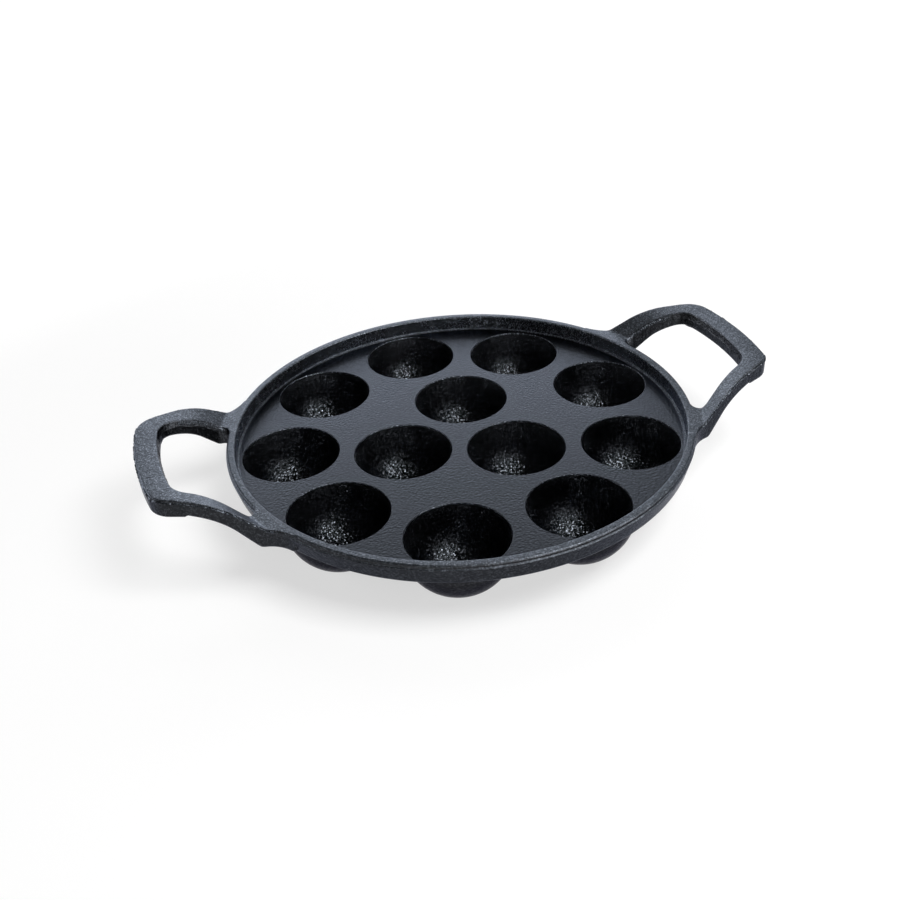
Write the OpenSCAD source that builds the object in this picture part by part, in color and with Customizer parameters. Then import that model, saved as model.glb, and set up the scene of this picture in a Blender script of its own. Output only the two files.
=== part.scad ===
// Cast-iron paniyaram pan: a round rimmed plate with hemispherical cups hung under it
// and a raised loop handle at each side, all one casting. Millimetres, +Z up.
// The origin is at the pan's centre, on the plane that the cups' feet stand on.
// The handles lie along X.

/* [Cups] */
// Diameter of a cup just under its rounded lip
cup_d = 44.8; // [36:0.2:52]
// Thickness of a cup's wall
cup_wall = 2.6; // [2:0.1:4]
// Rounding of a cup's lip
lip_r = 1; // [0.5:0.1:1.6]
// Depth of the flat ground on the underside of each cup
foot_cut = 0.35; // [0.1:0.05:1]
// Number of cups in the outer ring
outer_count = 9; // [9:1:12]
// Number of cups in the inner ring
inner_count = 3; // [2:1:3]
// Width of the plate between neighbouring cups of the outer ring
outer_web = 10.6; // [9:0.2:16]
// Width of the plate between neighbouring cups of the inner ring
inner_web = 8.2; // [6:0.2:10]
// Angle of the outer ring's first cup from the line of the handles
outer_angle = 90; // [0:1:180]
// Angle of the inner ring's first cup from the line of the handles
inner_angle = 70; // [0:1:180]

/* [Plate and rim] */
// Thickness of the plate
plate_t = 3; // [2.4:0.1:5]
// Flat margin between the outer cups' lips and the ledge
plate_margin = 0.8; // [0.4:0.1:4]
// Width of the small ledge at the foot of the rim's inner wall
ledge_w = 0.9; // [0.5:0.1:2]
// Height of that ledge
ledge_h = 0.7; // [0.4:0.1:1.5]
// Rounding of the ledge's edge
ledge_r = 0.25; // [0.1:0.05:0.4]
// How far the rim's inner wall leans out over its height
wall_lean = 0.2; // [0.1:0.1:1.5]
// Height of the rim's top above the plate
rim_h = 7.7; // [6:0.1:14]
// Width of the rim's top
rim_w = 3.7; // [3:0.1:6]
// Rounding of the rim's top edges
rim_edge_r = 0.9; // [0.3:0.1:1.3]
// How far the mould's parting line stands proud of the rim
parting_out = 0.6; // [0.2:0.1:1.2]
// Rounding of the parting line
parting_edge_r = 0.3; // [0.1:0.1:0.4]
// Depth of the parting line below the rim's top
parting_drop = 2.2; // [1.5:0.1:4]
// How far the skirt tapers in below the parting line
skirt_taper = 2.2; // [0.5:0.1:3]
// Rounding of the skirt's lower corner
skirt_r = 2.2; // [0.5:0.1:2.4]

/* [Handle outline] */
// Gap between the rim and the grip, for the fingers
finger_gap = 28.1; // [22:0.1:40]
// Width of the grip
grip_w = 11.4; // [8:0.1:14]
// Distance of the arms' outer edges from the pan's centre, square to the edge
arm_offset = 87.4; // [80:0.1:92]
// Width of an arm
arm_w = 9.6; // [8:0.1:13]
// Angle at which the arms close in towards the grip
arm_angle = 22.9; // [15:0.1:28]
// Rounding of the grip's outer corners
grip_corner_r = 12; // [3:0.5:14]
// Rounding of the finger hole's corners at the grip
hole_corner_r = 9.8; // [3:0.2:12]
// Rounding of the finger hole's corners at the rim
hole_root_r = 4.4; // [2:0.2:7]
// Sweep of the arms' outer edges into the rim
arm_sweep_r = 24; // [8:1:30]

/* [Handle rise] */
// Height of the grip's top above the rim's top
grip_rise = 15.1; // [8:0.1:24]
// Length of the level root outside the rim, on top
root_len = 4.4; // [2:0.2:6]
// How much further out the root's underside stays level
heel_len = 2.3; // [1:0.1:3]
// Rounding of the root's underside where it turns up
heel_r = 2; // [1:0.5:4]
// Thickness of the root
root_t = 8.2; // [5:0.1:10]
// Thickness of an arm where it reaches the grip
arm_t = 6.7; // [5:0.1:9]
// How far the grip's underside stands below the arms'
grip_step = 0.8; // [0.2:0.1:2]
// Slope of the arms' steep part, on top
rise_angle = 44.4; // [35:0.1:52]
// How much steeper the arms' steep part is underneath
under_steepen = 8.3; // [0:0.1:12]
// Slope of the arms' shallow part towards the grip
fade_angle = 10.7; // [8:0.1:20]
// Slope of the arms' underside towards the grip
under_angle = 14; // [4:0.5:20]
// Rounding of the hollow where an arm leaves its root
root_bend_r = 3; // [1:0.5:4]
// Rounding of the arms' hump, on top
hump_r = 28; // [10:1:36]
// Rounding of the arms' bend, underneath
under_bend_r = 22; // [4:1:30]

/* [Hidden] */
$fn = 96;
// reach of a cut past the face it opens
over = 2;
// straight steps in each rounding of a drawn outline
arc_steps = 8;

cup_r = cup_d / 2;
cup_out_r = cup_r + cup_wall;
outer_pitch_r = (cup_d + outer_web) / (2 * sin(180 / outer_count));
inner_pitch_r = (cup_d + inner_web) / (2 * sin(180 / inner_count));
// heights above the plane that the feet stand on
cup_z = cup_out_r - foot_cut;
plate_z = cup_z + lip_r;
rim_z = plate_z + rim_h;
// radii of the ledge's edge, the wall's foot and top, the rim and the parting line
ledge_edge_r = outer_pitch_r + cup_r + lip_r + plate_margin;
wall_foot_r = ledge_edge_r + ledge_w;
wall_top_r = wall_foot_r + wall_lean;
rim_r = wall_top_r + rim_w;
parting_r = rim_r + parting_out;
// radii of the grip's two edges
grip_in_r = rim_r + finger_gap;
grip_out_r = grip_in_r + grip_w;

// unit vectors square to an arm's outer edge and along it, and the first one's angle
arm_normal = [sin(arm_angle), cos(arm_angle)];
arm_along = [cos(arm_angle), -sin(arm_angle)];
normal_angle = 90 - arm_angle;

function arc(centre, r, from, to, steps = arc_steps) =
    [for (i = [0:steps]) let (a = from + (to - from) * i / steps) centre + r * [cos(a), sin(a)]];
function angle_of(p) = atan2(p.y, p.x);
function flipped(points) = [for (i = [len(points) - 1:-1:0]) [points[i].x, -points[i].y]];

// share of a side that a corner's rounding may take, by the radius of the corner at its other end
function share(other_r) = other_r > 0 ? 0.45 : 0.95;

// rounds each corner of an outline given as [x, y, radius]
function rounded(corners) =
    let (n = len(corners))
    [for (i = [0:n - 1])
        let (p = [corners[i].x, corners[i].y],
             q = corners[(i + n - 1) % n],
             s = corners[(i + 1) % n],
             a = [q.x, q.y] - p,
             b = [s.x, s.y] - p,
             ua = a / norm(a),
             ub = b / norm(b),
             half = acos(max(-1, min(1, ua * ub))) / 2,
             r = min(corners[i][2], min(share(q[2]) * norm(a), share(s[2]) * norm(b)) * tan(half)),
             t = r / tan(half),
             bis = (ua + ub) / norm(ua + ub),
             c = p + bis * r / sin(half),
             start = angle_of(p + ua * t - c),
             turn = angle_of(p + ub * t - c) - start,
             sweep = turn > 180 ? turn - 360 : turn < -180 ? turn + 360 : turn)
        each r < 0.02 ? [p] : arc(c, r, start, start + sweep)];

// where a line from p at angle a meets a line from q at angle b
function meet(p, a, q, b) =
    let (d = q - p, s = (d.x * sin(b) - d.y * cos(b)) / sin(b - a)) p + s * [cos(a), sin(a)];

// centre of a rounding that touches a circle about the pan's centre and an arm's edge:
// it lies ring_r from the pan's centre and edge_d from it square to the arm
function touching(ring_r, edge_d) =
    edge_d * arm_normal + sqrt(ring_r * ring_r - edge_d * edge_d) * arm_along;

sweep_c = touching(rim_r + arm_sweep_r, arm_offset + arm_sweep_r);
corner_c = touching(grip_out_r - grip_corner_r, arm_offset - grip_corner_r);
hole_root_c = touching(rim_r + hole_root_r, arm_offset - arm_w - hole_root_r);
hole_corner_c = touching(grip_in_r - hole_corner_r, arm_offset - arm_w - hole_corner_r);

// one half of the handle's outer edge, from the rim to the middle of the grip
outer_half = concat(
    arc(sweep_c, arm_sweep_r, angle_of(sweep_c) + 180, normal_angle + 180),
    arc(corner_c, grip_corner_r, normal_angle, angle_of(corner_c)),
    arc([0, 0], grip_out_r, angle_of(corner_c) * (1 - 1 / arc_steps), 0, arc_steps - 1));

// one half of the finger hole, from the middle of the rim's side to the middle of the grip
hole_half = concat(
    arc([0, 0], rim_r, 0, angle_of(hole_root_c) * (1 - 1 / arc_steps), arc_steps - 1),
    arc(hole_root_c, hole_root_r, angle_of(hole_root_c) + 180, normal_angle),
    arc(hole_corner_c, hole_corner_r, normal_angle, angle_of(hole_corner_c)),
    arc([0, 0], grip_in_r, angle_of(hole_corner_c) * (1 - 1 / arc_steps), 0, arc_steps - 1));

// section through plate, ledge, wall, rim and skirt, from the pan's axis outwards
body_section = rounded([
    [0, plate_z - plate_t, 0],
    [parting_r - skirt_taper, plate_z - plate_t, skirt_r],
    [parting_r, rim_z - parting_drop, parting_edge_r],
    [rim_r, rim_z, rim_edge_r],
    [wall_top_r, rim_z, rim_edge_r],
    [wall_foot_r, plate_z + ledge_h, ledge_r],
    [ledge_edge_r, plate_z + ledge_h, ledge_r],
    [ledge_edge_r, plate_z, ledge_r],
    [0, plate_z, 0]]);

// section through root, arm and grip, by distance from the pan's axis, its root buried in the rim
root_r = wall_top_r + rim_w / 3;
grip_top = rim_z + grip_rise;
grip_start = [grip_in_r + grip_w / 3, grip_top];
hollow = [rim_r + root_len, rim_z];
hump = meet(hollow, rise_angle, grip_start, fade_angle);
heel = [rim_r + root_len + heel_len, rim_z - root_t];
arm_end = [grip_in_r - grip_step / 3, grip_top - arm_t];
elbow = meet(heel, rise_angle + under_steepen, arm_end, under_angle);
handle_section = rounded([
    [root_r, rim_z, 0],
    [hollow.x, hollow.y, root_bend_r],
    [hump.x, hump.y, hump_r],
    [grip_start.x, grip_start.y, hump_r],
    [grip_out_r, grip_top, 0],
    [grip_out_r, grip_top - arm_t - grip_step, 0],
    [grip_in_r + grip_step / 3, grip_top - arm_t - grip_step, 0],
    [arm_end.x, arm_end.y, 0],
    [elbow.x, elbow.y, under_bend_r],
    [heel.x, heel.y, heel_r],
    [root_r, rim_z - root_t, 0]]);

module at_each_cup() {
    for (i = [0:outer_count - 1])
        rotate(outer_angle + i * 360 / outer_count)
            translate([outer_pitch_r, 0, cup_z])
                children();
    for (i = [0:inner_count - 1])
        rotate(inner_angle + i * 360 / inner_count)
            translate([inner_pitch_r, 0, cup_z])
                children();
}

// rimmed plate without its cups
module body() {
    rotate_extrude()
        polygon(body_section);
}

// outside of a cup, below the middle of the plate, cut off flat at the foot
module bulge() {
    rotate_extrude()
        intersection() {
            circle(r = cup_out_r);
            translate([0, foot_cut - cup_out_r])
                square([cup_out_r, cup_out_r - foot_cut + lip_r - plate_t / 2]);
        }
}

// inside of a cup, up to its rounded lip
module hollow_cup() {
    rotate_extrude()
        union() {
            intersection() {
                circle(r = cup_r);
                translate([0, -cup_r])
                    square([cup_r, cup_r]);
            }
            difference() {
                square([cup_r + lip_r, lip_r + over]);
                translate([cup_r + lip_r, 0])
                    circle(r = lip_r);
            }
        }
}

// loop handle on the +X side
module handle() {
    intersection() {
        rotate_extrude()
            polygon(handle_section);
        linear_extrude(height = grip_top + over)
            difference() {
                polygon(concat([[0, 0]], outer_half, flipped(outer_half)));
                polygon(concat(hole_half, flipped(hole_half)));
            }
    }
}

module pan() {
    color([0.2, 0.21, 0.23])
        difference() {
            union() {
                body();
                at_each_cup()
                    bulge();
                handle();
                rotate(180)
                    handle();
            }
            at_each_cup()
                hollow_cup();
        }
}

pan();
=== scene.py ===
"""Paniyaram pan: one black iron casting on a white floor, in soft studio light."""

from math import acos, atan2, cos, degrees, pi, radians, sin, sqrt, tan

import bpy
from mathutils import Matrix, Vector, noise


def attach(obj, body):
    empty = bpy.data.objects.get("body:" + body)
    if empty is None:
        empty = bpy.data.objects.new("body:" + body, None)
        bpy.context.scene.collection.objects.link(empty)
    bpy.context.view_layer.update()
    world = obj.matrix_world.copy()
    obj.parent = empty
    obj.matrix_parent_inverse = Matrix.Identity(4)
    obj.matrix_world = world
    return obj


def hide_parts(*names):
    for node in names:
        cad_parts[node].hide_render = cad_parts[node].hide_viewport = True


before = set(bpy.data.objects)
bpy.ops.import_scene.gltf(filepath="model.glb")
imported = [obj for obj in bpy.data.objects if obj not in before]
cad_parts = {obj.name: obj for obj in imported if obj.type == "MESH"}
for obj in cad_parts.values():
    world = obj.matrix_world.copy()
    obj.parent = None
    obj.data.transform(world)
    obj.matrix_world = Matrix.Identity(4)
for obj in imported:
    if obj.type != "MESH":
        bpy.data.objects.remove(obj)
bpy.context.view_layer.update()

MM = 0.001

# Sizes in millimetres, heights above the plane that the cups stand on. A name that ends in R is a radius:
# from the pan's axis, of a cup or of a rounding.
CUP_R = 22.4
CUP_WALL = 2.6
CUP_Z = 24.65
LIP_R = 1.0
CRISP_LIP_R = 0.35
# the mouth of a cup opens at this angle, degrees, on its way up
MOUTH_DRAFT = 11.5
# the lip's finish, duller than the cup and painted lighter as a painted highlight along the mouth, reaches
# this far down
LIP_BAND = 0.8
CUP_OUT_R = CUP_R + CUP_WALL
PLATE_Z = CUP_Z + LIP_R
PLATE_T = 3.0
# a ring of cups: its radius, the angle of its first cup and the number of its cups
OUTER_RING = (80.99, 90, 9)
INNER_RING = (30.60, 70, 3)

LEDGE_EDGE_R = 105.19
LEDGE_W = 0.9
LEDGE_H = 0.7
WALL_LEAN = 0.2
RIM_W = 3.7
RIM_H = 7.7
WALL_FOOT_R = LEDGE_EDGE_R + LEDGE_W
WALL_TOP_R = WALL_FOOT_R + WALL_LEAN
RIM_R = WALL_TOP_R + RIM_W
RIM_Z = PLATE_Z + RIM_H
RIM_EDGE_R = 0.9
# the mould's parting line runs round the rim, where the side stands out most
PARTING_OUT = 0.6
PARTING_DROP = 2.2
SKIRT_TAPER = 2.2
SKIRT_R = 2.2
SKIRT_HEIGHT = RIM_Z - PARTING_DROP - PLATE_Z + PLATE_T

FINGER_GAP = 28.1
GRIP_W = 11.4
GRIP_IN_R = RIM_R + FINGER_GAP
GRIP_OUT_R = GRIP_IN_R + GRIP_W
ARM_OFFSET = 87.4
ARM_W = 9.6
ARM_ANGLE = radians(22.9)
GRIP_CORNER_R = 12.0
HOLE_CORNER_R = 9.8
HOLE_ROOT_R = 4.4
ARM_SWEEP_R = 24.0
GRIP_RISE = 15.08
GRIP_TOP = RIM_Z + GRIP_RISE
ROOT_LEN = 4.4
HEEL_LEN = 2.3
ROOT_T = 8.2
ARM_T = 6.7
GRIP_STEP = 0.8
# slopes of the handle's rise, degrees: of the arm, how much steeper the arm is underneath, and near the grip,
# of the top and of the underside
RISE_ANGLE = 44.4
UNDER_STEEPEN = 8.3
FADE_ANGLE = 10.7
UNDER_ANGLE = 14.0
ROOT_BEND_R = 3.0
HUMP_R = 28.0
UNDER_BEND_R = 22.0
HEEL_R = 2.0
UNDER_STEP_R = 0.5
# the underside is crowned: its middle hangs this far below the square section
BELLY = 1.4


def clamped(value):
    return max(0.0, min(1.0, value))


def deselect_all():
    if bpy.context.object and bpy.context.object.mode != "OBJECT":
        bpy.ops.object.mode_set(mode="OBJECT")
    bpy.ops.object.select_all(action="DESELECT")


def make_active(piece):
    deselect_all()
    piece.select_set(True)
    bpy.context.view_layer.objects.active = piece


def apply_placing():
    bpy.ops.object.transform_apply(location=True, rotation=True, scale=True)


def edit(piece):
    """Opens a piece's mesh for editing, with all of it selected."""
    make_active(piece)
    bpy.ops.object.mode_set(mode="EDIT")
    bpy.ops.mesh.select_all(action="SELECT")


def select_open_edges():
    bpy.ops.mesh.select_all(action="DESELECT")
    bpy.ops.mesh.select_non_manifold()


def turn_faces_out():
    """Turns all faces outwards in a mesh that is open for editing, and ends the editing."""
    bpy.ops.mesh.select_all(action="SELECT")
    bpy.ops.mesh.normals_make_consistent(inside=False)
    bpy.ops.object.mode_set(mode="OBJECT")


def rounded(corners, step=18):
    """Rounds an open outline of (x, y, radius) corners; a rounding gets a point every `step` degrees."""
    points = [Vector(corners[0][:2])]
    for before, corner, after in zip(corners, corners[1:], corners[2:]):
        here, radius = Vector(corner[:2]), corner[2]
        if radius == 0:
            points.append(here)
            continue
        to_before = (Vector(before[:2]) - here).normalized()
        to_after = (Vector(after[:2]) - here).normalized()
        half = acos(max(-1.0, min(1.0, to_before.dot(to_after)))) / 2
        centre = here + (to_before + to_after).normalized() * radius / sin(half)
        start = here + to_before * radius / tan(half) - centre
        end = here + to_after * radius / tan(half) - centre
        turn = atan2(start.x * end.y - start.y * end.x, start.dot(end))
        steps = max(1, round(abs(turn) / radians(step)))
        for i in range(steps + 1):
            a = turn * i / steps
            x = start.x * cos(a) - start.y * sin(a)
            y = start.x * sin(a) + start.y * cos(a)
            points.append(centre + Vector((x, y)))
    points.append(Vector(corners[-1][:2]))
    return points


def arc(centre, radius, start, end, steps):
    """Points of an arc, angles in degrees."""
    angles = [radians(start + (end - start) * i / steps) for i in range(steps + 1)]
    return [Vector((centre[0] + radius * cos(a), centre[1] + radius * sin(a))) for a in angles]


def profile(name, points):
    """An open line of edges in the XZ plane, drawn by extruding one vertex from point to point."""
    deselect_all()
    bpy.ops.mesh.primitive_plane_add(size=MM, location=(0, 0, 0))
    line = bpy.context.object
    line.name = name
    edit(line)
    bpy.ops.mesh.merge(type="CENTER")
    x, z = points[0]
    bpy.ops.transform.translate(value=(x * MM, 0, z * MM))
    for before, point in zip(points, points[1:]):
        step = (point - before) * MM
        bpy.ops.mesh.extrude_region_move(TRANSFORM_OT_translate={"value": (step.x, 0, step.y)})
    bpy.ops.object.mode_set(mode="OBJECT")
    return line


# points of a mesh that lie closer together than this become one
TURNED_WELD = 0.002
HANDLE_WELD = 0.001
PAN_WELD = 0.003


def turned(name, points, steps):
    """Turns a profile round the Z axis into a closed solid."""
    piece = profile(name, points)
    edit(piece)
    bpy.ops.mesh.spin(steps=steps, angle=2 * pi, center=(0, 0, 0), axis=(0, 0, 1))
    bpy.ops.mesh.select_all(action="SELECT")
    bpy.ops.mesh.remove_doubles(threshold=TURNED_WELD * MM)
    select_open_edges()
    if piece.data.total_edge_sel:
        bpy.ops.mesh.fill_holes(sides=0)
    turn_faces_out()
    return piece


def cup_places():
    """How far each cup's centre lies from the pan's axis, along X and along Y."""
    places = []
    for ring_r, first, count in (OUTER_RING, INNER_RING):
        for i in range(count):
            a = radians(first + 360 * i / count)
            places.append((ring_r * cos(a), ring_r * sin(a)))
    return places


def copied_to_cups(piece, name):
    """Copies a piece to each cup's centre, and joins the copies into one mesh in its place."""
    copies = []
    for x, y in cup_places():
        make_active(piece)
        bpy.ops.object.duplicate()
        bpy.ops.transform.translate(value=(x * MM, y * MM, CUP_Z * MM))
        copies.append(bpy.context.object)
    bpy.data.objects.remove(piece)
    deselect_all()
    for copy in copies:
        copy.select_set(True)
    bpy.context.view_layer.objects.active = copies[0]
    bpy.ops.object.join()
    apply_placing()
    joined = bpy.context.object
    joined.name = name
    return joined


def combine(piece, tool, operation):
    """Adds a tool piece to the casting or cuts it out."""
    make_active(piece)
    cut = piece.modifiers.new(tool.name, "BOOLEAN")
    cut.operation = operation
    cut.solver = "EXACT"
    cut.object = tool
    bpy.ops.object.modifier_apply(modifier=cut.name)
    bpy.data.objects.remove(tool)


# small roundings of the plate's profile
LEDGE_ROUND = 0.25
WALL_FOOT_ROUND = 0.3
PARTING_ROOT_ROUND = 0.4
PARTING_ROUND = 0.3
# the profile runs this far in over the plate and under it; the flat middles are filled once it is turned
TOP_RUN = 1.5
UNDER_RUN = 4
# the rim's side leans out a little, and just above the parting line it steps out over this height
RIM_LEAN = 0.1
PARTING_STEP = 0.5
PLATE_STEPS = 224


def make_plate():
    """The rimmed plate, still without its cups."""
    parting_r, parting_z = RIM_R + PARTING_OUT, RIM_Z - PARTING_DROP
    skirt_foot_r, under_z = parting_r - SKIRT_TAPER, PLATE_Z - PLATE_T
    section = rounded([
        (LEDGE_EDGE_R - TOP_RUN, PLATE_Z, 0),
        (LEDGE_EDGE_R, PLATE_Z, LEDGE_ROUND),
        (LEDGE_EDGE_R, PLATE_Z + LEDGE_H, LEDGE_ROUND),
        (WALL_FOOT_R, PLATE_Z + LEDGE_H, WALL_FOOT_ROUND),
        (WALL_TOP_R, RIM_Z, RIM_EDGE_R),
        (RIM_R, RIM_Z, RIM_EDGE_R),
        (RIM_R + RIM_LEAN, parting_z + PARTING_STEP, PARTING_ROOT_ROUND),
        (parting_r, parting_z, PARTING_ROUND),
        (skirt_foot_r, under_z, SKIRT_R),
        (skirt_foot_r - UNDER_RUN, under_z, 0),
    ])
    return turned("plate", section, PLATE_STEPS)


FLARE_R = 1.0
# the flare ends a hair above the plate's underside, and the bulge goes on into the plate, leaning in a little
FLARE_SINK = 0.03
INTO_PLATE = 1.2
LEAN_IN = 0.1
BULGE_STEPS = 80
BULGE_ARC_STEPS, FLARE_ARC_STEPS = 22, 4


def make_bulge():
    """Outside of a cup, from the flat it stands on to a small flare under the plate."""
    foot_z = -CUP_Z
    foot_r = sqrt(CUP_OUT_R ** 2 - CUP_Z ** 2)
    under = PLATE_Z - PLATE_T - CUP_Z
    flare_z = under - FLARE_R + FLARE_SINK
    flare_r = sqrt((CUP_OUT_R + FLARE_R) ** 2 - flare_z ** 2)
    start = -degrees(acos(foot_r / CUP_OUT_R))
    end = degrees(atan2(flare_z, flare_r))
    section = [Vector((0, foot_z))]
    section += arc((0, 0), CUP_OUT_R, start, end, BULGE_ARC_STEPS)
    section += arc((flare_r, flare_z), FLARE_R, 180 + end, 90, FLARE_ARC_STEPS)[1:]
    section += [Vector((flare_r - LEAN_IN, under + INTO_PLATE)), Vector((0, under + INTO_PLATE))]
    return turned("bulge", section, BULGE_STEPS)


# the lip's rounding ends a hair above the plate, so that the two never share a plane
LIP_ABOVE_PLATE = 0.02
# the cutting solid goes on above the lip, a hair wider and well clear of the plate
CUTTER_WIDER = 0.2
CUTTER_CLEAR = 3
HOLLOW_STEPS = 100
HOLLOW_ARC_STEPS = 18
# degrees from one point of the crisp lip to the next
CRISP_STEP = 24


def make_hollow():
    """Inside of a cup, opening a little on its way up to a crisp lip, as a solid to be cut out."""
    draft = radians(MOUTH_DRAFT)
    draft_start = Vector((CUP_R * cos(draft), -CUP_R * sin(draft)))
    lip_z = LIP_R + LIP_ABOVE_PLATE
    mouth = Vector((draft_start.x + (lip_z - draft_start.y) * tan(draft), lip_z))
    under_lip = mouth.lerp(draft_start, LIP_BAND / (mouth - draft_start).length)
    section = arc((0, 0), CUP_R, -90, -MOUTH_DRAFT, HOLLOW_ARC_STEPS) + [under_lip]
    section += rounded([(*draft_start, 0), (*mouth, CRISP_LIP_R), (mouth.x + 1, lip_z, 0)], CRISP_STEP)[1:-1]
    cutter_top = LIP_R + CUTTER_CLEAR
    section += [Vector((section[-1].x + CUTTER_WIDER, cutter_top)), Vector((0, cutter_top))]
    return turned("hollow", section, HOLLOW_STEPS)


def touching(ring_r, edge_d):
    """Centre of a rounding: ring_r from the pan's centre, of which edge_d is square to an arm's edge."""
    normal = Vector((sin(ARM_ANGLE), cos(ARM_ANGLE)))
    along = Vector((cos(ARM_ANGLE), -sin(ARM_ANGLE)))
    return normal * edge_d + along * sqrt(ring_r ** 2 - edge_d ** 2)


def angle_of(point):
    return degrees(atan2(point.y, point.x))


# steps of the outline's roundings: where an arm leaves the rim, at the grip's corners and along the grip
ROOT_STEPS, CORNER_STEPS, GRIP_STEPS = 40, 24, 24


def edge_lines():
    """The outer edge and the finger hole's edge of half a handle, each as three runs: arm, corner, grip."""
    square = 90 - degrees(ARM_ANGLE)
    sweep = touching(RIM_R + ARM_SWEEP_R, ARM_OFFSET + ARM_SWEEP_R)
    corner = touching(GRIP_OUT_R - GRIP_CORNER_R, ARM_OFFSET - GRIP_CORNER_R)
    root = touching(RIM_R + HOLE_ROOT_R, ARM_OFFSET - ARM_W - HOLE_ROOT_R)
    hole_corner = touching(GRIP_IN_R - HOLE_CORNER_R, ARM_OFFSET - ARM_W - HOLE_CORNER_R)
    outer = (arc(sweep, ARM_SWEEP_R, angle_of(sweep) + 180, square + 180, ROOT_STEPS),
             arc(corner, GRIP_CORNER_R, square, angle_of(corner), CORNER_STEPS),
             arc((0, 0), GRIP_OUT_R, angle_of(corner), 0, GRIP_STEPS))
    inner = (arc(root, HOLE_ROOT_R, angle_of(root) + 180, square, ROOT_STEPS),
             arc(hole_corner, HOLE_CORNER_R, square, angle_of(hole_corner), CORNER_STEPS),
             arc((0, 0), GRIP_IN_R, angle_of(hole_corner), 0, GRIP_STEPS))
    return outer, inner


def refined(points, gap=0.2):
    """Adds points along a line so that they lie about gap apart."""
    fine = [points[0]]
    for a, b in zip(points, points[1:]):
        parts = max(1, int((b - a).length / gap))
        fine += [a.lerp(b, (i + 1) / parts) for i in range(parts)]
    return fine


def spaced(points, count):
    """Count + 1 points at even steps along a line."""
    runs = [0.0]
    for a, b in zip(points, points[1:]):
        runs.append(runs[-1] + (b - a).length)
    result, i = [], 0
    for k in range(count + 1):
        goal = runs[-1] * k / count
        while i < len(points) - 2 and runs[i + 1] < goal:
            i += 1
        span = runs[i + 1] - runs[i]
        result.append(points[i].lerp(points[i + 1], (goal - runs[i]) / span if span else 0))
    return result


def at_radius(points, radius):
    """The point of a line that runs outwards at which it reaches a radius."""
    for a, b in zip(points, points[1:]):
        if a.length <= radius <= b.length:
            return a.lerp(b, (radius - a.length) / (b.length - a.length))
    return points[0] if radius < points[0].length else points[-1]


# the stations of an arm end at this radius; they lie closer together towards the rim
ARM_END_R = 131.0
CROWDING = 1.15
# the first of them lies a hair outside the rim
OFF_RIM = 0.02
# the handle's ends run in over the rim's top, a hair above it, and sink into it from here on
SINK_R = RIM_R - 1.6
SINK_SLOPE = 0.3
FLUSH = 0.015
# radii of the stations inside the rim
BURIED_RADII = (SINK_R - 0.9, SINK_R, SINK_R + 0.8)
# how many stations there are along an arm, round a corner and along half the grip
ARM_STATIONS, CORNER_STATIONS, GRIP_STATIONS = 70, 36, 30


def stations():
    """Pairs of points, on the hole's edge and on the outer edge, across the handle from root to mid grip."""
    outer, inner = edge_lines()
    outer_arm = refined(outer[0] + [outer[1][0]])
    inner_arm = refined(inner[0] + [inner[1][0]])
    pairs = []
    for buried in BURIED_RADII:
        pairs.append((inner_arm[0].normalized() * buried, outer_arm[0].normalized() * buried))
    for i in range(ARM_STATIONS + 1):
        radius = RIM_R + OFF_RIM + (ARM_END_R - RIM_R) * (i / ARM_STATIONS) ** CROWDING
        pairs.append((at_radius(inner_arm, radius), at_radius(outer_arm, radius)))
    to_corner = []
    for arm, corner in ((inner_arm, inner[1]), (outer_arm, outer[1])):
        rest = [at_radius(arm, ARM_END_R)] + [p for p in arm if p.length > ARM_END_R] + corner[1:]
        to_corner.append(spaced(rest, CORNER_STATIONS))
    pairs += list(zip(*to_corner))[1:]
    pairs += list(zip(spaced(inner[2], GRIP_STATIONS), spaced(outer[2], GRIP_STATIONS)))[1:]
    return pairs


def meet(p, a, q, b):
    """Where a line from p at angle a meets a line from q at angle b."""
    d = q - p
    s = (d.x * sin(b) - d.y * cos(b)) / sin(b - a)
    return p + s * Vector((cos(a), sin(a)))


# both height lines run from inside the rim to a little past the grip; points on their bends are this many
# degrees apart
LINE_START_R = 100
LINE_END_R = GRIP_OUT_R + 1
LINE_STEP = 4


def rise_lines():
    """Heights of the handle's top and underside by distance from the pan's axis."""
    grip_start = Vector((GRIP_IN_R + GRIP_W / 3, GRIP_TOP))
    bend = Vector((RIM_R + ROOT_LEN, RIM_Z))
    hump = meet(bend, radians(RISE_ANGLE), grip_start, radians(FADE_ANGLE))
    root_under, arm_under = RIM_Z - ROOT_T - BELLY, GRIP_TOP - ARM_T - BELLY
    heel = Vector((RIM_R + ROOT_LEN + HEEL_LEN, root_under))
    arm_end = Vector((GRIP_IN_R - GRIP_STEP / 3, arm_under))
    elbow = meet(heel, radians(RISE_ANGLE + UNDER_STEEPEN), arm_end, radians(UNDER_ANGLE))
    top = [(LINE_START_R, RIM_Z, 0), (*bend, ROOT_BEND_R), (*hump, HUMP_R), (*grip_start, HUMP_R),
           (LINE_END_R, GRIP_TOP, 0)]
    under = [(LINE_START_R, root_under, 0), (*heel, HEEL_R), (*elbow, UNDER_BEND_R), (*arm_end, UNDER_STEP_R),
             (GRIP_IN_R + GRIP_STEP / 2, arm_under - GRIP_STEP, UNDER_STEP_R),
             (LINE_END_R, arm_under - GRIP_STEP, 0)]
    return rounded(top, LINE_STEP), rounded(under, LINE_STEP)


def height_on(line, radius):
    for a, b in zip(line, line[1:]):
        if a.x <= radius <= b.x:
            return a.y + (b.y - a.y) * (radius - a.x) / (b.x - a.x)
    return line[-1].y


# the roundings along the handle's edges, with the angles in degrees at which they get points
TOP_EDGE_R = 0.6
TOP_EDGE_ANGLES = (90, 65, 42, 20, 0)
BOTTOM_EDGE_R = 1.4
BOTTOM_EDGE_ANGLES = (0, 22, 45, 68, 90)
BOTTOM_SET_IN = 0.4
BOTTOM_LIFT = 0.2
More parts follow.
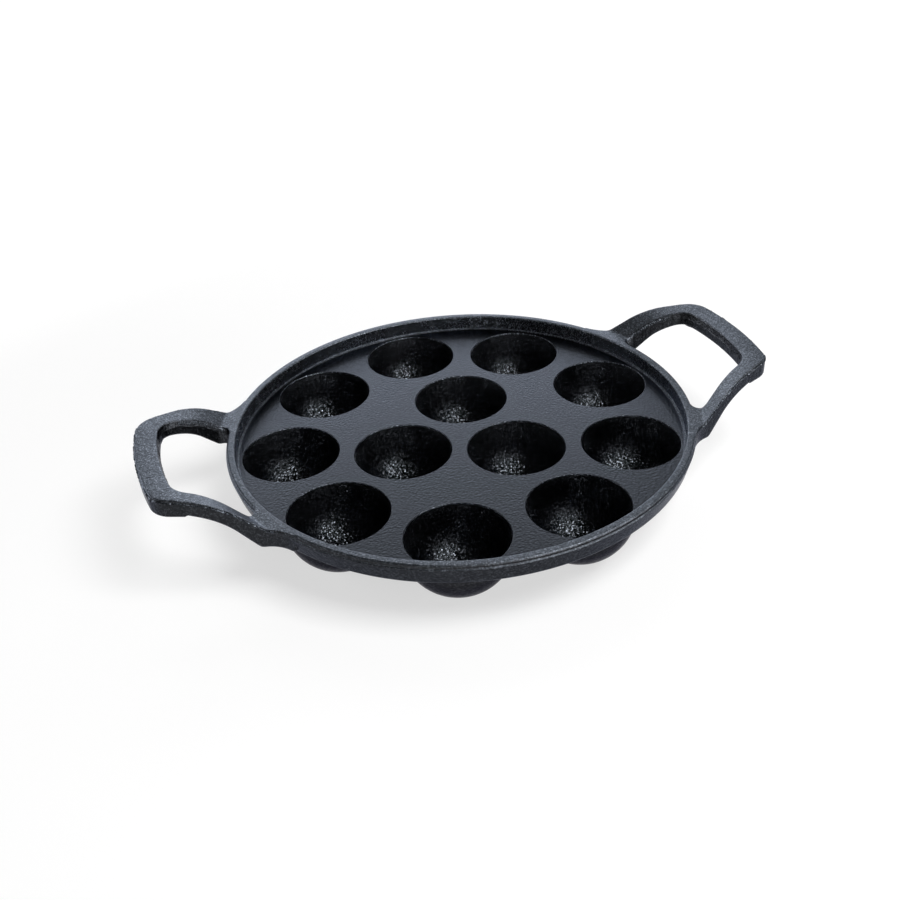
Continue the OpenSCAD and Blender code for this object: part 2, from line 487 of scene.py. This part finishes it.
# the mould's halves met at a seam: low on the hole's side, where the wall leans out above it and steps in
# below it, and close under the top on the outer side, where it left a ragged ridge
SEAM_MARKS = {
    "hole": [(0.2, "seam", -2.45), (0.0, "seam", -2.8), (0.4, "seam", -3.1)],
    "outer": [(0.75, "top", -0.95), (0.35, "seam", -0.75), (0.05, "seam", -0.95), (0.25, "seam", -1.5)],
}
TOP_SET_IN = {"hole": 0.7, "outer": 0.85}
# where the points that run over the top and back underneath lie, as shares of the width from the hole
TOP_SHARES = (0.2, 0.35, 0.5, 0.65, 0.8)
UNDER_SHARES = (0.7, 0.5, 0.3)


def side_marks(side):
    """Points down a side of the handle: inset from the outline, what the height is measured from, height."""
    marks = []
    for angle in TOP_EDGE_ANGLES:
        a = radians(angle)
        marks.append((TOP_SET_IN[side] + TOP_EDGE_R * (1 - cos(a)), "top", -TOP_EDGE_R * (1 - sin(a))))
    marks += SEAM_MARKS[side]
    for angle in BOTTOM_EDGE_ANGLES:
        a = radians(angle)
        lift = BOTTOM_EDGE_R * (1 - sin(a)) + BOTTOM_LIFT
        marks.append((BOTTOM_SET_IN + BOTTOM_EDGE_R * (1 - cos(a)), "under", lift))
    return marks


def ring_marks():
    """Points right round the handle's section, from the hole's side over the top and back underneath."""
    ring = [("hole", *mark) for mark in reversed(side_marks("hole"))]
    ring += [("across", share, "top", 0.0) for share in TOP_SHARES]
    ring += [("outer", *mark) for mark in side_marks("outer")]
    ring += [("across", share, "under", 0.0) for share in UNDER_SHARES]
    return ring


# how far the seam strays up and down and how far its teeth reach where the noise is strongest, and how often
# each changes in a millimetre
SEAM_WANDER, WANDER_RATE = 0.7, 0.15
SEAM_TEETH, TEETH_RATE = 0.8, 0.9
# a tooth cuts in sideways by this share of its reach
TEETH_DEPTH = 0.6
# the seam starts to be ragged this far out from the rim, and is fully so after the fade
RAGGED_FROM, RAGGED_FADE = 1.5, 5
# each handle has a seam of its own, and the teeth are drawn from another part of the noise than the wander
SEAM_SEEDS = {"right_handle": 12, "left_handle": 11}
TEETH_SEED = 7


def ragged(place, seed):
    """How far the rough parting seam strays at a place: a slow wander up and down, and small teeth."""
    clear_of_rim = clamped((place.length - RIM_R - RAGGED_FROM) / RAGGED_FADE)
    wander = noise.noise(Vector((place.x * WANDER_RATE, place.y * WANDER_RATE, seed)))
    teeth = noise.noise(Vector((place.x * TEETH_RATE, place.y * TEETH_RATE, seed + TEETH_SEED)))
    return wander * SEAM_WANDER * clear_of_rim, abs(teeth) * SEAM_TEETH * clear_of_rim


# within this distance of the rim the handle's outer side takes on the skirt's taper
TAPER_FADE = 7


def taper_at(outer, level, lift, under_z):
    """How far the skirt's taper takes in a point of the handle's outer side."""
    at_rim = 1 - clamped((outer.length - RIM_R) / TAPER_FADE)
    z = under_z + lift if level == "under" else RIM_Z + lift
    drop = max(0.0, RIM_Z - PARTING_DROP - z)
    return at_rim * drop * SKIRT_TAPER / SKIRT_HEIGHT


def handle_point(pair, mark, lines, seed):
    """The place of one mark of the section at one station of the handle."""
    inner, outer = pair
    side, inset, level, lift = mark
    top, under = lines
    width = (outer - inner).length
    if side == "hole":
        t = inset / width
    elif side == "outer":
        t = 1 - (inset + taper_at(outer, level, lift, height_on(under, outer.length))) / width
    else:
        t = inset
    if level == "seam":
        wander, teeth = ragged(inner if side == "hole" else outer, seed)
        lift += wander - teeth
        t += (teeth if side == "hole" else -teeth) * TEETH_DEPTH / width
    radius = inner.length + (outer.length - inner.length) * t
    angle = atan2(inner.y, inner.x) + (atan2(outer.y, outer.x) - atan2(inner.y, inner.x)) * t
    z = height_on(under if level == "under" else top, radius) + lift
    if level != "under":
        z -= max(0.0, SINK_R - radius) * SINK_SLOPE - FLUSH
    return Vector((radius * cos(angle), radius * sin(angle), z))


def make_handle(name):
    """A loop handle on the +X side: a grid bent into a closed band along the stations."""
    pairs = stations()
    pairs += [tuple(Vector((p.x, -p.y)) for p in pair) for pair in reversed(pairs[:-1])]
    ring, lines = ring_marks(), rise_lines()
    long_way, round_way = len(pairs) - 1, len(ring)
    deselect_all()
    bpy.ops.mesh.primitive_grid_add(x_subdivisions=long_way, y_subdivisions=round_way, size=2)
    handle = bpy.context.object
    handle.name = name
    for vertex in handle.data.vertices:
        station = round((vertex.co.x + 1) / 2 * long_way)
        mark = round((vertex.co.y + 1) / 2 * round_way) % round_way
        vertex.co = handle_point(pairs[station], ring[mark], lines, SEAM_SEEDS[name]) * MM
    edit(handle)
    bpy.ops.mesh.remove_doubles(threshold=HANDLE_WELD * MM)
    select_open_edges()
    bpy.ops.mesh.edge_face_add()
    turn_faces_out()
    return handle


# edges that turn more than this, degrees, are shaded sharp
SHARP_ANGLE = 40


def make_pan():
    """The whole casting: plate, bulges and handles joined, and the cups cut out last."""
    pan = make_plate()
    pan.name = "pan_casting"
    combine(pan, copied_to_cups(make_bulge(), "bulges"), "UNION")
    right = make_handle("right_handle")
    left = make_handle("left_handle")
    make_active(left)
    bpy.ops.transform.rotate(value=pi, orient_axis="Z", center_override=(0, 0, 0))
    apply_placing()
    combine(pan, right, "UNION")
    combine(pan, left, "UNION")
    combine(pan, copied_to_cups(make_hollow(), "hollows"), "DIFFERENCE")
    edit(pan)
    bpy.ops.mesh.remove_doubles(threshold=PAN_WELD * MM)
    bpy.ops.object.mode_set(mode="OBJECT")
    bpy.ops.object.shade_smooth_by_angle(angle=radians(SHARP_ANGLE))
    weighted = pan.modifiers.new("weighted", "WEIGHTED_NORMAL")
    weighted.keep_sharp = True
    bpy.ops.object.modifier_apply(modifier=weighted.name)
    return pan


# the finish of each part of the casting says how coarse and how dull its skin is, with the dull skin painted
# lighter as painted light, and how much painted shade darkens it, each from 0 to 1
FINISH_NAMES = ("coarse", "dull_and_lit", "painted_shade")
PLATE_FINISH = (0.0, 0.1, 0.0)
# the lips are painted lighter: a painted highlight round each cup's mouth
LIP_HIGHLIGHT_FINISH = (1.0, 0.7, 0.0)
CUP_FINISH = (1.0, 0.0, 0.0)
WALL_FINISH = (1.0, 0.3, 0.0)
# the ledge's top is painted lighter: a painted highlight along it
LEDGE_HIGHLIGHT_FINISH = (0.3, 1.0, 0.0)
# the seam's ridge is painted lighter: a painted highlight along it
RIDGE_HIGHLIGHT_FINISH = (1.0, 0.8, 0.0)
# the outside of the casting: its tops, duller and painted lighter as painted light, and its sides with all
# that faces down, darkened as painted shade
LIT_TOP_FINISH = (0.3, 0.95, 0.0)
SHADED_SIDE_FINISH = (0.3, 0.2, 0.5)
SHADED_UNDERSIDE_FINISH = (0.3, 0.2, 0.8)

# a surface faces up by -1, straight down, to 1, straight up: the sides' finish ends at the first of these and
# the tops' is reached at the second
SIDE_UP, TOP_UP = 0.25, 0.75
LEDGE_UP = 0.5
RIDGE_UP = 0.1
# the seam's ridge lies within these distances below the handle's top, from here outwards
RIDGE_FROM, RIDGE_TO = 0.55, 1.6
RIDGE_START_R = RIM_R + 3
# the outside of the casting starts on the rim's top, past its rounded inner edge
OUTSIDE_R = WALL_TOP_R + 0.6
# the ledge and the rim's inner wall lie within that, outside this radius and above this height
WALL_R, WALL_Z = LEDGE_EDGE_R - 0.3, PLATE_Z + 0.2
# the lips lie between these heights, and the cups and the underside below the third
LIP_LOW_Z, LIP_HIGH_Z = PLATE_Z - LIP_BAND + 0.1, PLATE_Z - 0.02
BELOW_PLATE_Z = PLATE_Z - 0.15
# the inside of a cup lies at most this far from its centre
MOUTH_R = CUP_R + 0.9


def outside_finish(below_top, across, up):
    """The finish of the rim and the handles: the seam's ridge carries a painted highlight, the tops are
    duller than the sides and painted lighter, and the sides carry painted shade.
    """
    on_ridge = RIDGE_START_R < across < ARM_END_R and RIDGE_FROM < below_top < RIDGE_TO
    if on_ridge and up > RIDGE_UP:
        return RIDGE_HIGHLIGHT_FINISH
    share = clamped((up - SIDE_UP) / (TOP_UP - SIDE_UP))
    return tuple(side + (top - side) * share for side, top in zip(SHADED_SIDE_FINISH, LIT_TOP_FINISH))


def finish_of(place, up, centres, handle_top):
    """The finish at a point of the casting, with its painted light and painted shade, where its surface faces
    up by up.
    """
    across = sqrt(place.x ** 2 + place.y ** 2)
    if across > OUTSIDE_R:
        return outside_finish(height_on(handle_top, across) - place.z, across, up)
    if across > WALL_R and place.z > WALL_Z:
        return LEDGE_HIGHLIGHT_FINISH if up > LEDGE_UP else WALL_FINISH
    if LIP_LOW_Z < place.z < LIP_HIGH_Z:
        return LIP_HIGHLIGHT_FINISH
    if place.z < BELOW_PLATE_Z:
        inside = min((place - centre).length for centre in centres) < MOUTH_R
        return CUP_FINISH if inside else SHADED_UNDERSIDE_FINISH
    return PLATE_FINISH


def mark_finish(pan):
    """Stores the finish of each part of the casting, with its painted light and painted shade, for its
    material to read.
    """
    centres = [Vector((x, y, CUP_Z)) for x, y in cup_places()]
    handle_top = rise_lines()[0]
    layers = [pan.data.attributes.new(name, "FLOAT", "POINT") for name in FINISH_NAMES]
    for i, vertex in enumerate(pan.data.vertices):
        finish = finish_of(vertex.co / MM, vertex.normal.z, centres, handle_top)
        for layer, value in zip(layers, finish):
            layer.data[i].value = value


def feed(tree, value, socket):
    """Gives a socket what it takes: another node's output, a number, a vector or a colour."""
    if isinstance(value, bpy.types.NodeSocket):
        tree.links.new(value, socket)
    elif socket.type == "RGBA":
        socket.default_value = (*value, 1)
    else:
        socket.default_value = value


def attribute(tree, name):
    node = tree.nodes.new("ShaderNodeAttribute")
    node.attribute_name = name
    return node.outputs["Fac"]


def own_place(tree):
    """Where a point lies on its own piece, in metres."""
    return tree.nodes.new("ShaderNodeTexCoord").outputs["Object"]


def noise_texture(tree, place, rate, detail=3):
    texture = tree.nodes.new("ShaderNodeTexNoise")
    for name, value in (("Vector", place), ("Scale", rate), ("Detail", detail)):
        feed(tree, value, texture.inputs[name])
    return texture.outputs["Fac"]


def ranged(tree, value, low, high, start=0.0, end=1.0):
    """Maps a value that runs from start to end to the range from low to high."""
    node = tree.nodes.new("ShaderNodeMapRange")
    for name, number in (("From Min", start), ("From Max", end), ("To Min", low), ("To Max", high)):
        node.inputs[name].default_value = number
    feed(tree, value, node.inputs["Value"])
    return node.outputs["Result"]


def bumped(tree, height, strength, distance, below=None):
    node = tree.nodes.new("ShaderNodeBump")
    node.inputs["Distance"].default_value = distance * MM
    feed(tree, strength, node.inputs["Strength"])
    feed(tree, height, node.inputs["Height"])
    if below:
        feed(tree, below, node.inputs["Normal"])
    return node.outputs["Normal"]


def mixed(tree, share, low, high, blend="MIX"):
    """Runs from the low to the high colour as share goes from 0 to 1, or blends the two in another way."""
    node = tree.nodes.new("ShaderNodeMix")
    node.data_type = "RGBA"
    node.blend_type = blend
    for name, value in (("Factor", share), ("A", low), ("B", high)):
        feed(tree, value, node.inputs[name])
    return node.outputs["Result"]


def multiplied(tree, one, other):
    return mixed(tree, 1, one, other, "MULTIPLY")


def scalar_math(tree, operation, one, other):
    node = tree.nodes.new("ShaderNodeMath")
    node.operation = operation
    feed(tree, one, node.inputs[0])
    feed(tree, other, node.inputs[1])
    return node.outputs["Value"]


def added(tree, one, other):
    return scalar_math(tree, "ADD", one, other)


def vector_math(tree, operation, *values):
    node = tree.nodes.new("ShaderNodeVectorMath")
    node.operation = operation
    for value, socket in zip(values, node.inputs):
        feed(tree, value, socket)
    return node.outputs["Value" if operation in ("DOT_PRODUCT", "LENGTH") else "Vector"]


def grains(tree, place, size):
    """Splits the skin into grains, each flat and tilted its own way: their height, and a number for each."""
    texture = tree.nodes.new("ShaderNodeTexVoronoi")
    feed(tree, 1 / size, texture.inputs["Scale"])
    feed(tree, place, texture.inputs["Vector"])
    tilt = vector_math(tree, "SUBTRACT", texture.outputs["Color"], thrice(0.5))
    from_middle = vector_math(tree, "SUBTRACT", place, texture.outputs["Position"])
    number = tree.nodes.new("ShaderNodeSeparateColor")
    feed(tree, texture.outputs["Color"], number.inputs["Color"])
    return vector_math(tree, "DOT_PRODUCT", tilt, from_middle), number.outputs["Blue"]


def new_material(name):
    """A new material, with its node tree and its shader."""
    material = bpy.data.materials.new(name)
    material.use_nodes = True
    return material, material.node_tree, material.node_tree.nodes["Principled BSDF"]


def thrice(value):
    return value, value, value


# reflecting strength of the black skin, where it is glossy and where it is dull; the dull skin's greater
# strength is painted light
SKIN = (0.0190, 0.0207, 0.0234)
LIT_DULL_SKIN = (0.074, 0.0826, 0.096)
# tint of what shows in it at a low angle, and a darker one as painted shade on the sides and undersides
EDGE_TINT = (0.75, 0.79, 0.88)
SHADED_EDGE_TINT = (0.42, 0.41, 0.43)
# painted shade: how much of the skin's own colour is left where the sides and undersides are shaded
SHADE_DIMMING = (0.66, 0.6, 0.56)
GLOSSY_ROUGHNESS, DULL_ROUGHNESS = 0.2, 0.45
# how much the roughness varies from place to place
UNEVENNESS = 0.03
# how wide a grain of the moulding sand is, and how often the finer sand and the slow clouds change in a
# millimetre
GRAIN_SIZE = 0.48
SAND_RATE = 0.9
CLOUD_RATE = 0.045
# most of a noise texture's values lie between these
NOISE_RANGE = (0.3, 0.7)
# how light the sand's pits and crests are, and the darkest and the brightest grains; few grains are bright
PIT, CREST = 0.7, 1.2
DARK_GRAIN, BRIGHT_GRAIN = 0.35, 6.5
RARITY = 4
# depth of the relief, and its strength where the skin is smooth
SAND_DEPTH, GRAIN_DEPTH = 0.25, 0.5
SMOOTH_SAND, SMOOTH_GRAIN = 0.9, 0.0
# the coarseness at which the sand is at full strength, and where the grains start
SAND_FULL, GRAIN_START = 0.4, 0.1


def cast_iron():
    """Black seasoned iron with a bluish cast: glossy and gritty in the cups, dull on the rim and handles,
    with painted light where the skin is dull and painted shade on the sides and undersides.
    """
    material, tree, shader = new_material("black_cast_iron")
    shader.inputs["Metallic"].default_value = 1.0
    place = vector_math(tree, "MULTIPLY", own_place(tree), thrice(1 / MM))
    coarse, dull_and_lit, painted_shade = (attribute(tree, name) for name in FINISH_NAMES)
    grain_height, grain_number = grains(tree, place, GRAIN_SIZE)
    sand = noise_texture(tree, place, SAND_RATE)
    cloud = noise_texture(tree, place, CLOUD_RATE)

    pitted = mixed(tree, ranged(tree, sand, 0, 1, *NOISE_RANGE), thrice(PIT), thrice(CREST))
    glint = scalar_math(tree, "POWER", grain_number, RARITY)
    glittering = mixed(tree, glint, thrice(DARK_GRAIN), thrice(BRIGHT_GRAIN))
    # the dull skin's lighter colour is painted light, and the painted shade darkens the sides and undersides
    skin = multiplied(tree, mixed(tree, dull_and_lit, SKIN, LIT_DULL_SKIN), mixed(tree, painted_shade, thrice(1), SHADE_DIMMING))
    colour = multiplied(tree, skin, mixed(tree, coarse, pitted, glittering))
    # painted shade also darkens what shows at a low angle on the sides and undersides
    edge_tint = mixed(tree, painted_shade, EDGE_TINT, SHADED_EDGE_TINT)

    gloss = ranged(tree, dull_and_lit, GLOSSY_ROUGHNESS, DULL_ROUGHNESS)
    roughness = added(tree, gloss, ranged(tree, cloud, -UNEVENNESS, UNEVENNESS, *NOISE_RANGE))

    sand_strength = ranged(tree, coarse, SMOOTH_SAND, 1.0, 0.0, SAND_FULL)
    grain_strength = ranged(tree, coarse, SMOOTH_GRAIN, 1.0, GRAIN_START, 1.0)
    sanded = bumped(tree, sand, sand_strength, SAND_DEPTH)
    grained = bumped(tree, grain_height, grain_strength, GRAIN_DEPTH, sanded)

    feed(tree, colour, shader.inputs["Base Color"])
    feed(tree, edge_tint, shader.inputs["Specular Tint"])
    feed(tree, roughness, shader.inputs["Roughness"])
    feed(tree, grained, shader.inputs["Normal"])
    return material


PAPER = 0.4
PAPER_ROUGHNESS = 0.9
# how brightly the paper shows its own white, near the pan and far from it, and where in metres the two end
NEAR_GLOW, FAR_GLOW = 0.6, 1.0
NEAR, FAR = 0.3, 0.9


def white_paper():
    """White paper that keeps the pan's shadow and shows as pure white away from it."""
    material, tree, shader = new_material("white_paper")
    feed(tree, thrice(PAPER), shader.inputs["Base Color"])
    feed(tree, PAPER_ROUGHNESS, shader.inputs["Roughness"])
    feed(tree, 0.0, shader.inputs["Specular IOR Level"])
    from_pan = vector_math(tree, "LENGTH", own_place(tree))
    glow = tree.nodes.new("ShaderNodeEmission")
    feed(tree, ranged(tree, from_pan, NEAR_GLOW, FAR_GLOW, NEAR, FAR), glow.inputs["Strength"])
    glowing = tree.nodes.new("ShaderNodeAddShader")
    feed(tree, shader.outputs["BSDF"], glowing.inputs[0])
    feed(tree, glow.outputs["Emission"], glowing.inputs[1])
    # the glow is only for what the camera sees, straight or in the pan, so it lights nothing
    path = tree.nodes.new("ShaderNodeLightPath")
    seen = added(tree, path.outputs["Is Camera Ray"], path.outputs["Is Glossy Ray"])
    seen = added(tree, seen, path.outputs["Is Transmission Ray"])
    pick = tree.nodes.new("ShaderNodeMixShader")
    feed(tree, seen, pick.inputs["Fac"])
    feed(tree, shader.outputs["BSDF"], pick.inputs[1])
    feed(tree, glowing.outputs["Shader"], pick.inputs[2])
    feed(tree, pick.outputs["Shader"], tree.nodes["Material Output"].inputs["Surface"])
    return material


# the studio's sizes in metres; the floor lies a hair below the flats that the cups stand on
FLOOR_SIZE = 16
FLOOR_DROP = 0.0002
STUDIO_R = 7.5
STUDIO_HEIGHT = 4
STUDIO_SIDES = 64


def make_studio():
    """A floor, and far from the pan a wall that goes round it."""
    deselect_all()
    bpy.ops.mesh.primitive_plane_add(size=FLOOR_SIZE, location=(0, 0, -FLOOR_DROP))
    floor = bpy.context.object
    floor.name = "floor"
    bpy.ops.object.transform_apply(location=True)
    bpy.ops.mesh.primitive_cylinder_add(
        radius=STUDIO_R, depth=STUDIO_HEIGHT, end_fill_type="NOTHING", vertices=STUDIO_SIDES)
    wall = bpy.context.object
    wall.name = "wall"
    paper = white_paper()
    for piece in (floor, wall):
        piece.data.materials.append(paper)


def aim(thing, place, target):
    thing.location = place
    thing.rotation_euler = (Vector(target) - Vector(place)).to_track_quat("-Z", "Y").to_euler()


# a softbox: its name, azimuth from +X and elevation in degrees, width and height in metres, and brightness,
# which is 1 for a white sheet in full light
SOFTBOXES = (
    ("left_softbox", 145, 6, 0.9, 0.6, 5.2),
    ("front_softbox", 281, 5, 0.8, 0.5, 9),
    ("right_softbox", 318, 5, 0.8, 0.5, 6),
    ("back_softbox", 79, 20, 1.1, 0.6, 2.7),
    ("high_back_softbox", 75, 40, 1.1, 0.6, 1.45),
    ("high_softbox", 313, 59, 0.7, 0.7, 10),
)
LAMP_DISTANCE = 1.3
PAN_MIDDLE = (0, 0, 0.02)
ROOM_LIGHT = 0.02


def softbox(name, azimuth, elevation, width, height, brightness):
    """A lamp that looks at the pan; the camera doesn't see it."""
    lamp = bpy.data.lights.new(name, "AREA")
    lamp.shape = "RECTANGLE"
    lamp.size = width
    lamp.size_y = height
    lamp.energy = brightness * pi * width * height
    holder = bpy.data.objects.new(name, lamp)
    bpy.context.scene.collection.objects.link(holder)
    holder.visible_camera = False
    a, e = radians(azimuth), radians(elevation)
    level = LAMP_DISTANCE * cos(e)
    aim(holder, (level * cos(a), level * sin(a), LAMP_DISTANCE * sin(e)), PAN_MIDDLE)


def light_scene():
    world = bpy.data.worlds.new("studio")
    bpy.context.scene.world = world
    world.use_nodes = True
    background = world.node_tree.nodes["Background"]
    background.inputs["Color"].default_value = (1, 1, 1, 1)
    background.inputs["Strength"].default_value = ROOM_LIGHT
    for values in SOFTBOXES:
        softbox(*values)


# the camera's place in metres and its turn in degrees, as fitted to the edges of the twelve cups
CAMERA_PLACE = (-0.13188, -0.42145, 0.30674)
CAMERA_TURN = (56.5186, 3.2627, -18.8259)


def place_camera():
    camera = bpy.data.cameras.new("camera")
    camera.lens = 43.66
    camera.sensor_width = 36
    camera.clip_start = 0.01
    holder = bpy.data.objects.new("camera", camera)
    bpy.context.scene.collection.objects.link(holder)
    holder.location = CAMERA_PLACE
    holder.rotation_euler = [radians(angle) for angle in CAMERA_TURN]
    bpy.context.scene.camera = holder


place_camera()
pan = make_pan()
mark_finish(pan)
pan.data.materials.clear()
pan.data.materials.append(cast_iron())
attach(pan, "root")
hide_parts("pan")
make_studio()
light_scene()
bpy.context.scene.view_settings.view_transform = "Standard"
